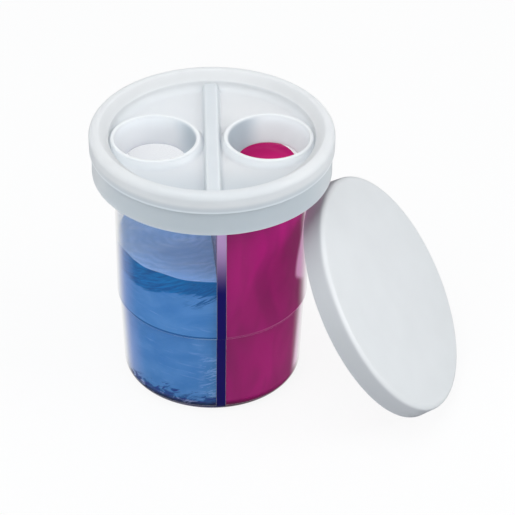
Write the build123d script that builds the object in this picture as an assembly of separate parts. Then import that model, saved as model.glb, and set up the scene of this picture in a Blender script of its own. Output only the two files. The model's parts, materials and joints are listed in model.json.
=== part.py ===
"""Divided paint cup: a clear moulded tumbler with two compartments, a push-on lid with
two funnels, two paints, and the cup's own cap, taken off and leaning against it.

Millimetres, +Z up. The origin is the centre of the circle that the cup stands on. The
divider lies in the YZ plane, the front is -Y, and the blue paint is on the -X side.
"""
from build123d import *
from math import acos, cos, radians, sin
import os

# Cup: outside of the tumbler
cup_height = 98.6
base_radius = 32.2
base_corner = 5.0
step_height = 34.2
step_rise = 0.35
lower_radius = 33.8
upper_radius = 34.7
shoulder_radius = 35.2
neck_height = 10.0
shoulder_rise = 4.2

# Cup: walls and underside
cup_wall = 1.6
neck_wall = 1.4
cup_floor = 2.2
foot_ring_width = 2.6
foot_recess = 0.7
rim_round = 0.5
compartment_corner = 0.9
corner_steps = 5

# Divider, thinner towards its top edge so that it leaves the mould; it ends below the rim
divider_drop = 4.3
divider_base = 2.2
divider_top = 1.6

# Lid: a broad rolled lip straddles the cup's rim, the skirt hangs outside the neck, and the
# floor, sunk inside the rim, lies on the divider
seat_gap = 0.3
lid_floor = 1.4
recess_depth = 6.4
skirt_radius = 43.0
skirt_wall = 1.5
skirt_depth = 9.5
skirt_edge_round = 0.6
lip_overhang = 1.0
lip_base_overhang = 0.8
lip_wall = 1.4
lip_outer_round = 2.6
lip_crest_inset = 3.6
lip_crest_round = 1.4
lip_slope_drop = 2.9
lip_edge_round = 0.5
plug_gap = 0.3
plug_wall = 1.1
recess_draft = 0.3
recess_round = 3.2

# What holds the lid on: a bead round the neck and a bead inside the skirt
neck_bead = 0.9
skirt_bead = 0.5
bead_gap = 0.3
neck_bead_drop = 7.3
skirt_bead_rise = 1.3

# The round lid isn't keyed to the divider, and sits turned a little about +Z
lid_turn = -4.7

# Funnels, one over each compartment; each mouth fills the space from the bar to the lip
funnel_centre_gap = 4.1
funnel_edge_gap = 0.7
funnel_lip_rise = 2.8
funnel_lip_width = 1.3
funnel_lip_round = 0.5
funnel_foot_flare = 1.5
funnel_foot_rise = 2.0
funnel_throat_radius = 10.9
funnel_throat_drop = 7.0
funnel_wall = 1.3

# Bar across the recess, over the divider
bar_top_width = 4.5
bar_base_width = 6.5
bar_rise = 2.5
bar_round = 0.9

# Cap that closes the whole lid
cap_gap = 0.2
cap_wall = 1.3
cap_draft = 0.5
cap_height = 8.2
cap_face = 1.4
cap_face_round = 2.2
cap_edge_round = 0.5
cap_bead = 0.3
cap_bead_rise = 1.1
seal_ring_gap = 0.3
seal_ring_wall = 1.1
seal_ring_depth = 3.4

# Cap's place: it stands on its open edge and leans on the cup, below the shoulder
cap_touch_drop = 8.591
cap_azimuth = -19.0
lean_gap = 0.3

# Paint: how far each surface lies below the divider's top
blue_headroom = 34.3
magenta_headroom = 12.3

# How far a cutting or joining solid runs past the surface that it cuts or joins
overrun = 1.0

# Heights and radii that follow from the sizes above
divider_height = cup_height - divider_drop
blue_level = divider_height - blue_headroom
magenta_level = divider_height - magenta_headroom
shoulder_top = cup_height - neck_height
shoulder_bottom = shoulder_top - shoulder_rise
skirt_inner = skirt_radius - skirt_wall
neck_radius = skirt_inner - skirt_bead - bead_gap - neck_bead
neck_inner = neck_radius - neck_wall
lid_under = divider_height + seat_gap
recess_floor = lid_under + lid_floor
lid_top = recess_floor + recess_depth
skirt_bottom = lid_under - skirt_depth
plug_outer = neck_inner - plug_gap
lip_inner = plug_outer - plug_wall
lip_radius = skirt_radius + lip_overhang
lip_base_radius = skirt_radius + lip_base_overhang
lip_crest_radius = lip_radius - lip_crest_inset
lip_edge_height = lid_top - lip_slope_drop
funnel_lip_outer = (lip_inner - funnel_edge_gap - funnel_centre_gap) / 2
funnel_offset = funnel_centre_gap + funnel_lip_outer
funnel_mouth_radius = funnel_lip_outer - funnel_lip_width / 2
funnel_foot_radius = funnel_lip_outer + funnel_foot_flare
cap_radius = lip_radius + cap_gap + cap_wall
cap_inner = cap_radius - cap_wall


def turned(*points):
    """Solid of revolution about Z of the closed outline through (radius, height) points."""
    outline = make_face(Polyline(*[(r, 0, z) for r, z in points], close=True))
    return revolve(outline, Axis.Z, 360)


def ring_bead(radius, height, depth, outward):
    """Half-round bead round Z, standing out of or into a wall of the given radius."""
    start, bulge = (90, -180) if outward else (90, 180)
    curve = Plane.XZ * CenterArc((radius, height), depth, start, bulge)
    back = Line(curve @ 1, curve @ 0)
    return revolve(make_face(Curve() + [curve, back]), Axis.Z, 360)


def circles_at(shape, height, radius, slack=0.05):
    """Circular edges of the shape at one height, centred on Z, of one radius."""
    found = []
    for edge in shape.edges().filter_by(GeomType.CIRCLE):
        centre = edge.arc_center
        on_axis = abs(centre.X) < slack and abs(centre.Y) < slack
        if on_axis and abs(centre.Z - height) < slack and abs(edge.radius - radius) < slack:
            found.append(edge)
    return found


def wall_radius_at(height):
    """Outside radius of the upper part of the cup's wall."""
    share = (height - step_height) / (shoulder_bottom - step_height)
    return upper_radius + share * (shoulder_radius - upper_radius)


def cup_body():
    """Outside of the tumbler, solid: base, step, shoulder and neck."""
    body = turned(
        (0, 0),
        (base_radius, 0),
        (lower_radius, step_height),
        (upper_radius, step_height + step_rise),
        (shoulder_radius, shoulder_bottom),
        (neck_radius, shoulder_top),
        (neck_radius, cup_height),
        (0, cup_height),
    )
    body = fillet(circles_at(body, 0, base_radius), base_corner)
    return body + ring_bead(neck_radius, cup_height - neck_bead_drop, neck_bead, True)


def divider_half(height):
    """Half the divider's thickness at a height."""
    return (divider_base + (divider_top - divider_base) * height / divider_height) / 2


def compartment_outline(height, radius):
    """Level outline of the right-hand compartment: a half circle with rounded corners."""
    near = divider_half(height)
    reach = radius + overrun
    half = Circle(radius) & Pos((near + reach) / 2, 0) * Rectangle(reach - near, 2 * reach)
    outline = fillet(half.vertices(), compartment_corner)
    return Pos(0, 0, height) * outline


def floor_corner_levels():
    """Heights and radii up the rounded corner between a compartment's floor and its wall."""
    corner = base_corner - cup_wall
    share = (cup_floor + corner) / step_height
    wall_radius = base_radius + share * (lower_radius - base_radius) - cup_wall
    levels = []
    for step in range(corner_steps + 1):
        angle = radians(90 * step / corner_steps)
        levels.append((cup_floor + corner * (1 - cos(angle)), wall_radius - corner * (1 - sin(angle))))
    return levels


def compartment(side):
    """Inside of the cup on the side -1 or +1 of the divider, from its floor past its top."""
    levels = floor_corner_levels() + [
        (step_height, lower_radius - cup_wall),
        (step_height + step_rise, upper_radius - cup_wall),
        (shoulder_bottom, shoulder_radius - cup_wall),
        (shoulder_top, neck_inner),
        (divider_height + overrun, neck_inner),
    ]
    space = loft([compartment_outline(z, r) for z, r in levels], ruled=True)
    return space if side > 0 else mirror(space, about=Plane.YZ)


def make_cup():
    """The clear tumbler with its divider, moulded in one."""
    foot_inner = base_radius - base_corner - foot_ring_width
    mouth_height = cup_height - divider_height + overrun
    mouth = Cylinder(neck_inner, mouth_height, align=(Align.CENTER, Align.CENTER, Align.MIN))
    cup = cup_body() - compartment(-1) - compartment(1) - Pos(0, 0, divider_height) * mouth
    rim = circles_at(cup, cup_height, neck_radius) + circles_at(cup, cup_height, neck_inner)
    cup = fillet(rim, rim_round)
    recess = Cone(foot_inner, foot_inner - foot_recess, foot_recess)
    return cup - Pos(0, 0, foot_recess / 2) * recess


def make_paint(side, level):
    """Paint that fills one compartment up to a level."""
    reach = 2 * neck_radius
    below = Pos(0, 0, level - cup_height / 2) * Box(reach, reach, cup_height)
    return compartment(side) & below


def lid_shell():
    """Skirt, rolled lip, plug wall and floor of the lid, as one turned section."""
    rim_seat = cup_height + seat_gap
    lip_hollow = lip_base_radius - lip_wall
    shell = turned(
        (0, lid_under),
        (plug_outer, lid_under),
        (plug_outer, rim_seat),
        (lip_crest_radius, lid_top - lip_wall),
        (lip_hollow, lid_top - lip_wall),
        (lip_hollow, lid_under + lip_wall),
        (skirt_inner, lid_under + lip_wall),
        (skirt_inner, skirt_bottom),
        (skirt_radius, skirt_bottom),
        (skirt_radius, lid_under),
        (lip_base_radius, lid_under),
        (lip_radius, lid_top),
        (lip_crest_radius, lid_top),
        (lip_inner, lip_edge_height),
        (lip_inner - recess_draft, recess_floor),
        (0, recess_floor),
    )
    shell = fillet(circles_at(shell, lid_top, lip_radius), lip_outer_round)
    shell = fillet(circles_at(shell, lid_top, lip_crest_radius), lip_crest_round)
    shell = fillet(circles_at(shell, lip_edge_height, lip_inner), lip_edge_round)
    shell = fillet(circles_at(shell, recess_floor, lip_inner - recess_draft), recess_round)
    shell = fillet(circles_at(shell, skirt_bottom, skirt_radius), skirt_edge_round)
    return shell + ring_bead(skirt_inner, skirt_bottom + skirt_bead_rise, skirt_bead, False)


def funnel_under_radius():
    """Outside radius of a funnel where it leaves the underside of the lid's floor."""
    drop = funnel_throat_drop + funnel_lip_rise
    lip_hole = funnel_mouth_radius - funnel_lip_width / 2
    slope = (lip_hole - funnel_throat_radius) / drop
    return funnel_throat_radius + slope * (funnel_throat_drop - lid_floor) + funnel_wall


def make_funnel():
    """One funnel, turned: raised lip on a flared foot, cone, and open throat below."""
    mouth = recess_floor + funnel_lip_rise
    throat = recess_floor - funnel_throat_drop
    lip_hole = funnel_mouth_radius - funnel_lip_width / 2
    funnel = turned(
        (funnel_throat_radius, throat),
        (funnel_throat_radius + funnel_wall, throat),
        (funnel_under_radius(), lid_under),
        (funnel_foot_radius, recess_floor),
        (funnel_lip_outer, recess_floor + funnel_foot_rise),
        (funnel_lip_outer, mouth),
        (lip_hole, mouth),
    )
    crest = circles_at(funnel, mouth, funnel_lip_outer) + circles_at(funnel, mouth, lip_hole)
    return fillet(crest, funnel_lip_round)


def make_bar():
    """Bar across the recess, with tapered sides and rounded top edges."""
    base = recess_floor - lid_floor / 2
    top = recess_floor + bar_rise
    section = make_face(
        Polyline(
            (-bar_base_width / 2, 0, base),
            (bar_base_width / 2, 0, base),
            (bar_base_width / 2, 0, recess_floor),
            (bar_top_width / 2, 0, top),
            (-bar_top_width / 2, 0, top),
            (-bar_base_width / 2, 0, recess_floor),
            close=True,
        )
    )
    bar = extrude(section, amount=lip_radius, dir=(0, 1, 0), both=True)
    bar = fillet(bar.edges().group_by(Axis.Z)[-1].filter_by(Axis.Y), bar_round)
    reach = lip_inner + plug_wall / 2
    return bar & Pos(0, 0, lid_top / 2) * Cylinder(reach, 2 * lid_top)


def make_lid():
    """The translucent lid: one moulding of skirt, lip, floor, two funnels and the bar."""
    lid = lid_shell() + make_bar()
    hole = Cylinder(funnel_under_radius() - funnel_wall / 2, lid_floor + 2 * overrun)
    for side in (-1, 1):
        lid = lid - Pos(side * funnel_offset, 0, (lid_under + recess_floor) / 2) * hole
        lid = lid + Pos(side * funnel_offset, 0, 0) * make_funnel()
    return Rot(0, 0, lid_turn) * lid


def cap_shell():
    """The cap about Z, open edge at height 0 and its plain face on top."""
    face_radius = cap_radius - cap_draft
    ceiling = cap_height - cap_face
    ring_outer = lip_inner - seal_ring_gap
    ring_inner = ring_outer - seal_ring_wall
    shell = turned(
        (cap_inner, 0),
        (cap_radius, 0),
        (face_radius, cap_height),
        (0, cap_height),
        (0, ceiling),
        (ring_inner, ceiling),
        (ring_inner, ceiling - seal_ring_depth),
        (ring_outer, ceiling - seal_ring_depth),
        (ring_outer, ceiling),
        (cap_inner, ceiling),
    )
    shell = fillet(circles_at(shell, cap_height, face_radius), cap_face_round)
    shell = fillet(circles_at(shell, 0, cap_radius), cap_edge_round)
    return shell + ring_bead(cap_inner, cap_bead_rise, cap_bead, False)


def cap_place():
    """Plane of the cap's open edge, so that it stands on the ground and leans on the cup."""
    turn = radians(cap_azimuth)
    core = cap_radius - cap_edge_round
    touch_height = shoulder_bottom - cap_touch_drop
    tilt = acos((touch_height - cap_edge_round) / (2 * core))
    height = core * cos(tilt) - cap_edge_round * sin(tilt) + cap_edge_round
    wall = wall_radius_at(touch_height) + lean_gap + cap_edge_round
    reach = wall + core * sin(tilt) - cap_edge_round * cos(tilt)
    centre = (reach * cos(turn), reach * sin(turn), height)
    outward = (cos(tilt) * cos(turn), cos(tilt) * sin(turn), sin(tilt))
    return Plane(origin=centre, x_dir=(-sin(turn), cos(turn), 0), z_dir=outward)


def main():
    os.makedirs("parts", exist_ok=True)
    nodes = {
        "cup": make_cup(),
        "funnel_lid": make_lid(),
        "snap_cap": cap_place() * cap_shell(),
        "blue_paint": make_paint(-1, blue_level),
        "magenta_paint": make_paint(1, magenta_level),
    }
    for name, shape in nodes.items():
        export_step(shape, f"parts/{name}.step")


main()
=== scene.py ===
"""Divided paint cup: the looks of a clear two-sided tumbler with two paints, a translucent
lid with two brush funnels, and a white cap that leans against the cup.

Everything is in metres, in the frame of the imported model. Sizes are given in millimetres
where they are typed, and turned to metres once.
"""
import json
import math

import bpy
from bpy.props import FloatProperty, FloatVectorProperty, IntProperty, PointerProperty
from mathutils import Matrix, Vector


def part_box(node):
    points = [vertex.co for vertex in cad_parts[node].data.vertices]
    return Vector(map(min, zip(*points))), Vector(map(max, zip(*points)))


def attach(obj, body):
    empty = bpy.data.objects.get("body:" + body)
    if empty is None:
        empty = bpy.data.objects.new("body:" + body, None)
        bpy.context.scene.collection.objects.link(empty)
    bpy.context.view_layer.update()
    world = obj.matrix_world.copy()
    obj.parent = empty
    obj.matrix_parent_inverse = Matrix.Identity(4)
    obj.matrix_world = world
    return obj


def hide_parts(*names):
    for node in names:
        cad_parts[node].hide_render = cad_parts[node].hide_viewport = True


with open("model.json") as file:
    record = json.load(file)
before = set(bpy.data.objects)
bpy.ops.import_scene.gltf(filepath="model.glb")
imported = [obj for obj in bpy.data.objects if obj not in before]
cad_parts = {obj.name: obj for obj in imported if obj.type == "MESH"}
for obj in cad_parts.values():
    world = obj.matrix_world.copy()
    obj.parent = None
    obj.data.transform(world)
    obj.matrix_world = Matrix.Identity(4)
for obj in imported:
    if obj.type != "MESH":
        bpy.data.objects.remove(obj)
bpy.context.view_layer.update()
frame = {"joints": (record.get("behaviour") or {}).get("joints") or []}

bl_info = {
    "name": "Divided Paint Cup",
    "version": (1, 0, 0),
    "blender": (4, 5, 0),
    "location": "3D View > Sidebar > Paint Cup",
    "description": "Models a clear divided paint cup with its funnel lid, cap and paints",
    "category": "Add Mesh",
}

MM = 0.001
IMAGE_SIZE = 515
MERGE = 0.001 * MM
# The flared feet stand this much over the recess floor, so that no two faces coincide
SKIM = 0.02 * MM
# Painted reflection: how bright the table, the lid and the cap glow in the cup's mirror images, in
# place of their own shading
MIRROR_GLOW = 0.15


def linear(colour):
    """Linear RGB of an sRGB hex colour such as #A0B1C2."""
    channels = []
    for place in (1, 3, 5):
        value = int(colour[place:place + 2], 16) / 255
        channels.append(value / 12.92 if value <= 0.04045 else ((value + 0.055) / 1.055) ** 2.4)
    return tuple(channels)


def length(name, millimetres, about):
    """A size that a user may change, typed in millimetres."""
    return FloatProperty(
        name=name, description=about, default=millimetres * MM, precision=5, unit="LENGTH"
    )


def paintable(name, colour, about):
    """A colour that a user may change, typed as an sRGB hex value."""
    return FloatVectorProperty(
        name=name, description=about, default=linear(colour), size=3, min=0, max=1, subtype="COLOR"
    )


def cad_top(node):
    """Highest point of a CAD node, in millimetres."""
    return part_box(node)[1][2] / MM


def cad_low(node):
    """Lowest point of a CAD node, in millimetres."""
    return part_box(node)[0][2] / MM


class CupSizes(bpy.types.PropertyGroup):
    """Sizes of the clear tumbler and of the paint in it."""

    height: length("Height", cad_top("cup"), "From the table to the cup's rim")
    base_radius: length("Base radius", 32.2, "Outside radius where the wall meets the table")
    base_corner: length("Base corner", 5.0, "Round between the base and the wall")
    step_height: length("Step height", 34.2, "Height of the step in the wall")
    step_rise: length("Step rise", 0.35, "Height of the step's own slope")
    lower_radius: length("Lower radius", 33.8, "Outside radius just under the step")
    upper_radius: length("Upper radius", 34.7, "Outside radius just over the step")
    shoulder_radius: length("Shoulder radius", 35.2, "Outside radius under the shoulder")
    shoulder_height: length("Shoulder height", 84.4, "Where the wall starts to flare")
    neck_radius: length("Neck radius", 39.8, "Outside radius of the straight neck")
    neck_height: length("Neck height", 88.6, "Where the flare turns into the neck")
    wall: length("Wall", 1.6, "Thickness of the wall")
    neck_wall: length("Neck wall", 1.4, "Thickness of the neck")
    floor: length("Floor", 2.2, "Height of the inside floor")
    foot_inner: length("Foot ring radius", 24.6, "Inner radius of the ring that the cup stands on")
    foot_recess: length("Foot recess", 0.7, "Depth of the hollow inside the foot ring")
    divider_height: length("Divider height", 94.3, "Height of the divider's top edge")
    divider_base: length("Divider base", 2.2, "Thickness of the divider at the table")
    divider_top: length("Divider top", 1.6, "Thickness of the divider at its top edge")
    corner: length("Compartment corner", 0.9, "Round where the divider meets the wall")
    bead: length("Neck bead", 0.9, "How far the bead stands out of the neck")
    bead_height: length("Neck bead height", 91.3, "Height of the bead")
    blue_level: length("Blue level", cad_top("blue_paint"), "Height of the blue paint")
    magenta_level: length("Magenta level", cad_top("magenta_paint"), "Height of the magenta paint")
    ripple: length("Ripple", 0.7, "Height of the ripples in the paint's surface")


class LidSizes(bpy.types.PropertyGroup):
    """Sizes of the funnel lid."""

    top: length("Lid top", cad_top("funnel_lid"), "Height of the lip's crest")
    floor_top: length("Recess floor", 96.0, "Height of the recess floor")
    floor_under: length("Floor underside", 94.6, "Height of the floor's underside")
    rim_seat: length("Rim seat", 98.9, "Height of the surface that lies over the cup's rim")
    skirt_bottom: length("Skirt bottom", cad_low("funnel_lid"), "Height of the skirt's lower edge")
    skirt_radius: length("Skirt radius", 43.0, "Outside radius of the skirt")
    skirt_inner: length("Skirt inside", 41.5, "Inside radius of the skirt")
    skirt_bead: length("Skirt bead", 0.5, "How far the skirt's bead stands in")
    skirt_bead_rise: length("Skirt bead rise", 1.3, "From the skirt's lower edge to its bead")
    lip_radius: length("Lip radius", 44.0, "Outside radius of the lip at its crest")
    lip_base: length("Lip base", 43.8, "Outside radius of the lip at the seam")
    lip_wall: length("Lip wall", 1.4, "Thickness of the lip round its hollow")
    lip_round: length("Lip round", 2.6, "Rounding of the lip's outer edge")
    crest_radius: length("Crest radius", 40.4, "Where the lip starts to fall inwards")
    crest_round: length("Crest round", 1.4, "Rounding where the lip starts to fall inwards")
    lip_edge: length("Lip edge", 99.5, "Height of the lip's inner edge")
    lip_inner: length("Lip inside", 37.0, "Radius of the lip's inner edge")
    edge_round: length("Lip edge round", 0.8, "Rounding of the lip's inner edge")
    plug_wall: length("Plug wall", 1.1, "Thickness of the wall round the recess")
    recess_radius: length("Recess radius", 36.7, "Radius of the recess at its floor")
    recess_round: length("Recess round", 3.2, "Round between the recess floor and its wall")
    turn: FloatProperty(
        name="Turn",
        description="How far the lid is turned on the cup",
        default=math.radians(-4.7),
        subtype="ANGLE",
    )
    funnel_offset: length("Funnel offset", 20.2, "From the middle to each funnel's centre")
    mouth_radius: length("Mouth radius", 15.45, "Radius of the funnel's crest")
    mouth_top: length("Mouth top", 98.8, "Height of the funnel's crest")
    mouth_width: length("Mouth width", 1.3, "Thickness of the funnel's lip")
    throat_radius: length("Throat radius", 10.9, "Radius of the open throat")
    throat: length("Throat height", 89.0, "Height of the funnel's lower end")
    funnel_wall: length("Funnel wall", 1.3, "Thickness of the funnel")
    foot_radius: length("Foot radius", 17.4, "Radius of the funnel's flared foot on the floor")
    foot_rise: length("Foot rise", 2.0, "Height of the flared foot")
    foot_round: length("Foot round", 1.6, "Fillet where the funnels and the bar meet the floor")
    bar_top: length("Bar top", 98.5, "Height of the bar")
    bar_top_width: length("Bar width, top", 4.5, "Width of the bar's top")
    bar_base_width: length("Bar width, base", 6.5, "Width of the bar at the floor")


class CapSizes(bpy.types.PropertyGroup):
    """Sizes of the snap cap."""

    radius: length("Cap radius", 45.5, "Outside radius at the open edge")
    face_radius: length("Face radius", 45.0, "Outside radius at the face")
    height: length("Cap height", 8.2, "From the open edge to the face")
    face: length("Face thickness", 1.4, "Thickness of the face")
    wall: length("Cap wall", 1.3, "Thickness of the wall")
    face_round: length("Face round", 2.2, "Rounding between the face and the wall")
    edge_round: length("Edge round", 0.5, "Rounding of the open edge")
    bead: length("Cap bead", 0.3, "How far the snap bead stands in")
    bead_rise: length("Cap bead rise", 1.1, "From the open edge to the snap bead")
    ring_radius: length("Ring radius", 36.7, "Outside radius of the sealing ring")
    ring_wall: length("Ring wall", 1.1, "Thickness of the sealing ring")
    ring_depth: length("Ring depth", 3.4, "How far the sealing ring hangs from the face")


class CupLooks(bpy.types.PropertyGroup):
    """Colours of the plastics and the paints."""

    clear: paintable("Clear styrene", "#F6F9FC", "Tint of the clear tumbler")
    lid: paintable("Lid", "#E6EAED", "Natural polypropylene of the lid")
    lid_shade: paintable("Lid shade", "#B3BEC6", "Lid where little light comes through it")
    # Painted shade on the lid's skirt
    skirt: paintable("Skirt", "#D6DDE0", "Lid's skirt, over the dark neck")
    cap: paintable("Cap", "#E4E8EA", "White polypropylene of the cap")
    # Painted shade on the cap's wall
    cap_shade: paintable("Cap wall", "#BEC2C6", "Wall of the cap, over its hollow")
    blue: paintable("Blue", "#4486C6", "Blue paint where it wets the wall")
    blue_pale: paintable("Pale blue", "#5E9AD4", "Blue paint in thinner patches")
    blue_light: paintable("Light blue", "#A8D0FF", "Light brush strokes in the blue paint")
    blue_dark: paintable("Dark blue", "#085898", "Dark strokes in the blue paint")
    blue_thick: paintable("Thick blue", "#0C7FC3", "Thick blue paint under its surface")
    blue_deep: paintable("Blue dregs", "#161681", "Settled blue paint at the floor")
    # Painted highlight under the step
    blue_glint: paintable("Blue glint", "#C4F1FF", "Pale line under the step, on the blue side")
    # Painted reflection on the blue side near its outline
    blue_edge: paintable("Blue edge", "#C4D3FF", "Blue side near its outline")
    # Painted light on the blue paint's top surface, with painted highlights on its ripples
    blue_top: paintable("Blue surface", "#7CAAE6", "Top surface of the blue paint")
    blue_ripple: paintable("Blue ripples", "#92BCF6", "Ripples on the blue paint's surface")
    magenta: paintable("Magenta", "#B20478", "Magenta paint")
    # Darker stripe and streaks in the magenta paint
    magenta_dark: paintable("Dark magenta", "#9C046A", "Folds in the magenta paint")
    # Painted highlight at the step
    magenta_glint: paintable("Magenta glint", "#FFAFE1", "Pale line at the step, on the magenta side")
    # Painted reflection on the magenta side near its outline
    magenta_edge: paintable("Magenta edge", "#F9BAE6", "Magenta side near its outline")
    # Painted light on the magenta paint's top surface
    magenta_top: paintable("Magenta surface", "#B51C67", "Top surface of the magenta paint")
    # Paint's colour in painted shade, on the floor under the magenta paint
    magenta_base: paintable("Magenta base", "#530039", "Floor of the cup under the magenta paint")
    # Painted shade and painted light on the divider's edge: dark between the paints, light over the
    # blue paint
    slab_low: paintable("Divider, low", "#08005B", "Divider's edge between the two paints")
    slab_high: paintable("Divider, high", "#DFB8EE", "Divider's edge over the blue paint")
    floor: paintable("Table", "#F2F4F6", "Pale table top")
    segments: IntProperty(name="Segments", description="Sides of a round", default=192, min=24)


class CupSettings(bpy.types.PropertyGroup):
    """All settings of the divided paint cup."""

    cup: PointerProperty(type=CupSizes)
    lid: PointerProperty(type=LidSizes)
    cap: PointerProperty(type=CapSizes)
    looks: PointerProperty(type=CupLooks)


def take(piece):
    """Make one piece the only selected and the active one."""
    bpy.ops.object.select_all(action="DESELECT")
    piece.select_set(True)
    bpy.context.view_layer.objects.active = piece


def rounded(outline, turn=math.radians(9)):
    """Points (radius, 0, height) of an outline of (radius, height, rounding) corners."""
    points = []
    for index, (across, up, rounding) in enumerate(outline):
        corner = Vector((across, up))
        if rounding == 0:
            points.append(corner)
            continue
        back = (Vector(outline[index - 1][:2]) - corner).normalized()
        ahead = (Vector(outline[(index + 1) % len(outline)][:2]) - corner).normalized()
        half = back.angle(ahead) / 2
        centre = corner + (back + ahead).normalized() * rounding / math.sin(half)
        start = corner + back * rounding / math.tan(half) - centre
        end = corner + ahead * rounding / math.tan(half) - centre
        sweep = math.copysign(math.pi - 2 * half, start.cross(end))
        steps = max(2, math.ceil(abs(sweep) / turn))
        for step in range(steps + 1):
            arm = start.copy()
            arm.rotate(Matrix.Rotation(sweep * step / steps, 2))
            points.append(centre + arm)
    return [Vector((point.x, 0, point.y)) for point in points]


def drawn(name, points, closed):
    """New piece left in edit mode: one vertex extruded from point to point."""
    bpy.ops.object.select_all(action="DESELECT")
    bpy.ops.mesh.primitive_circle_add(vertices=3, radius=MM)
    piece = bpy.context.object
    piece.name = name
    piece.data.name = name
    bpy.ops.object.mode_set(mode="EDIT")
    bpy.ops.mesh.select_all(action="SELECT")
    bpy.ops.mesh.merge(type="CENTER")
    bpy.ops.transform.translate(value=points[0])
    route = points + points[:1] if closed else points
    for start, end in zip(route, route[1:]):
        bpy.ops.mesh.extrude_vertices_move(TRANSFORM_OT_translate={"value": end - start})
    bpy.ops.mesh.select_all(action="SELECT")
    bpy.ops.mesh.remove_doubles(threshold=MERGE)
    return piece


def cleaned():
    """Close the seams of the mesh in edit mode, turn its faces outwards and leave edit mode."""
    bpy.ops.mesh.select_all(action="SELECT")
    bpy.ops.mesh.remove_doubles(threshold=MERGE)
    bpy.ops.mesh.normals_make_consistent(inside=False)
    bpy.ops.object.mode_set(mode="OBJECT")


def turned(name, outline, segments, closed=True):
    """Piece spun about Z from an outline; an open outline starts and ends on the axis."""
    piece = drawn(name, rounded(outline), closed)
    bpy.ops.mesh.spin(steps=segments, angle=2 * math.pi, center=(0, 0, 0), axis=(0, 0, 1))
    cleaned()
    return piece


def applied():
    """Put the active object's place, turn and size into its mesh."""
    bpy.ops.object.transform_apply(location=True, rotation=True, scale=True)


def moved(piece, offset):
    """Shift a piece's mesh and keep its object at the origin."""
    take(piece)
    piece.location = offset
    applied()
    return piece


def copied(piece, name, offset=(0, 0, 0), flip=False):
    """Copy of a piece with its own mesh, mirrored in X if asked."""
    take(piece)
    bpy.ops.object.duplicate()
    twin = bpy.context.object
    twin.name = name
    twin.data.name = name
    if flip:
        twin.scale.x = -1
    twin.location = offset
    applied()
    if flip:
        bpy.ops.object.mode_set(mode="EDIT")
        cleaned()
    return twin


def carved(piece, tool, operation):
    """Cut a tool from a piece, join it on, or keep what they share; the tool is used up."""
    take(piece)
    change = piece.modifiers.new("carve", "BOOLEAN")
    change.object = tool
    change.operation = operation
    change.solver = "EXACT"
    bpy.ops.object.modifier_apply(modifier=change.name)
    bpy.data.objects.remove(tool)
    return piece


def drilled(radius, low, high, segments, centre=0.0):
    """Upright cylinder to cut with, between two heights, at a place along X."""
    bpy.ops.object.select_all(action="DESELECT")
    bpy.ops.mesh.primitive_cylinder_add(
        vertices=segments, radius=radius, depth=high - low, location=(centre, 0, (low + high) / 2)
    )
    applied()
    return bpy.context.object


def smoothed(piece, degrees=32):
    """Smooth shading, with edges sharper than the angle kept."""
    take(piece)
    bpy.ops.object.shade_smooth_by_angle(angle=math.radians(degrees))
    return piece


def finished(piece, material, body, node_name):
    """Give a piece its material, and its place in the frame."""
    piece.data.materials.clear()
    piece.data.materials.append(material)
    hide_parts(node_name)
    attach(piece, body)


def near_side(cup, height):
    """Half the divider's thickness at a height."""
    share = height / cup.divider_height
    return (cup.divider_base + (cup.divider_top - cup.divider_base) * share) / 2


def half_round(radius, near, corner, height, arc_steps):
    """Closed loop of a half circle on the +X side, its two corners rounded."""
    inner = radius - corner
    lift = math.asin((near + corner) / inner)
    points = []
    for step in range(arc_steps + 1):
        angle = -math.pi / 2 + lift + (math.pi - 2 * lift) * step / arc_steps
        points.append(Vector((radius * math.cos(angle), radius * math.sin(angle), height)))
    # The round from the arc's end to the divider's face, and its mirror image
    corner_steps = 8
    arc_end = math.pi / 2 - lift
    centre = Vector((near + corner, inner * math.cos(lift), height))
    bend = []
    for step in range(1, corner_steps + 1):
        angle = arc_end + (math.pi - arc_end) * step / corner_steps
        bend.append(centre + corner * Vector((math.cos(angle), math.sin(angle), 0)))
    points += bend
    points += [Vector((point.x, -point.y, point.z)) for point in reversed(bend)]
    return points


def inside_levels(cup):
    """Heights and radii of the cup's inside, with the round between its floor and wall."""
    corner = cup.base_corner - cup.wall
    share = (cup.floor + corner) / cup.step_height
    wall = cup.base_radius + share * (cup.lower_radius - cup.base_radius) - cup.wall
    levels = []
    corner_steps = 8
    for step in range(corner_steps + 1):
        angle = math.pi / 2 * step / corner_steps
        rise = corner * (1 - math.cos(angle))
        levels.append((cup.floor + rise, wall - corner * (1 - math.sin(angle))))
    neck = cup.neck_radius - cup.neck_wall
    return levels + [
        (cup.step_height, cup.lower_radius - cup.wall),
        (cup.step_height + cup.step_rise, cup.upper_radius - cup.wall),
        (cup.shoulder_height, cup.shoulder_radius - cup.wall),
        (cup.neck_height, neck),
        (cup.divider_height + MM, neck),
    ]


def compartment(cup, name, top, corner, grow=0.0):
    """Solid of the right-hand compartment up to a height, a little larger if asked."""
    levels = inside_levels(cup)
    sections = []
    for index, (height, radius) in enumerate(levels):
        if height >= top:
            low, low_radius = levels[index - 1]
            share = (top - low) / (height - low)
            sections.append((top, low_radius + (radius - low_radius) * share))
            break
        sections.append((height, radius))
    inside = [(z, r + grow, near_side(cup, z) - grow) for z, r in sections]
    inside[0] = (cup.floor - grow, *inside[0][1:])
    height, radius, near = inside[0]
    arc_steps = 120
    piece = drawn(name, half_round(radius, near, corner, height, arc_steps), True)
    bpy.ops.mesh.edge_face_add()
    for next_height, next_radius, next_near in inside[1:]:
        step = (next_near - near, 0, next_height - height)
        bpy.ops.mesh.extrude_region_move(TRANSFORM_OT_translate={"value": step})
        wide = (next_radius - next_near) / (radius - near)
        bpy.ops.transform.resize(
            value=(wide, next_radius / radius, 1), center_override=(next_near, 0, next_height)
        )
        height, radius, near = next_height, next_radius, next_near
    cleaned()
    return piece


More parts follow.
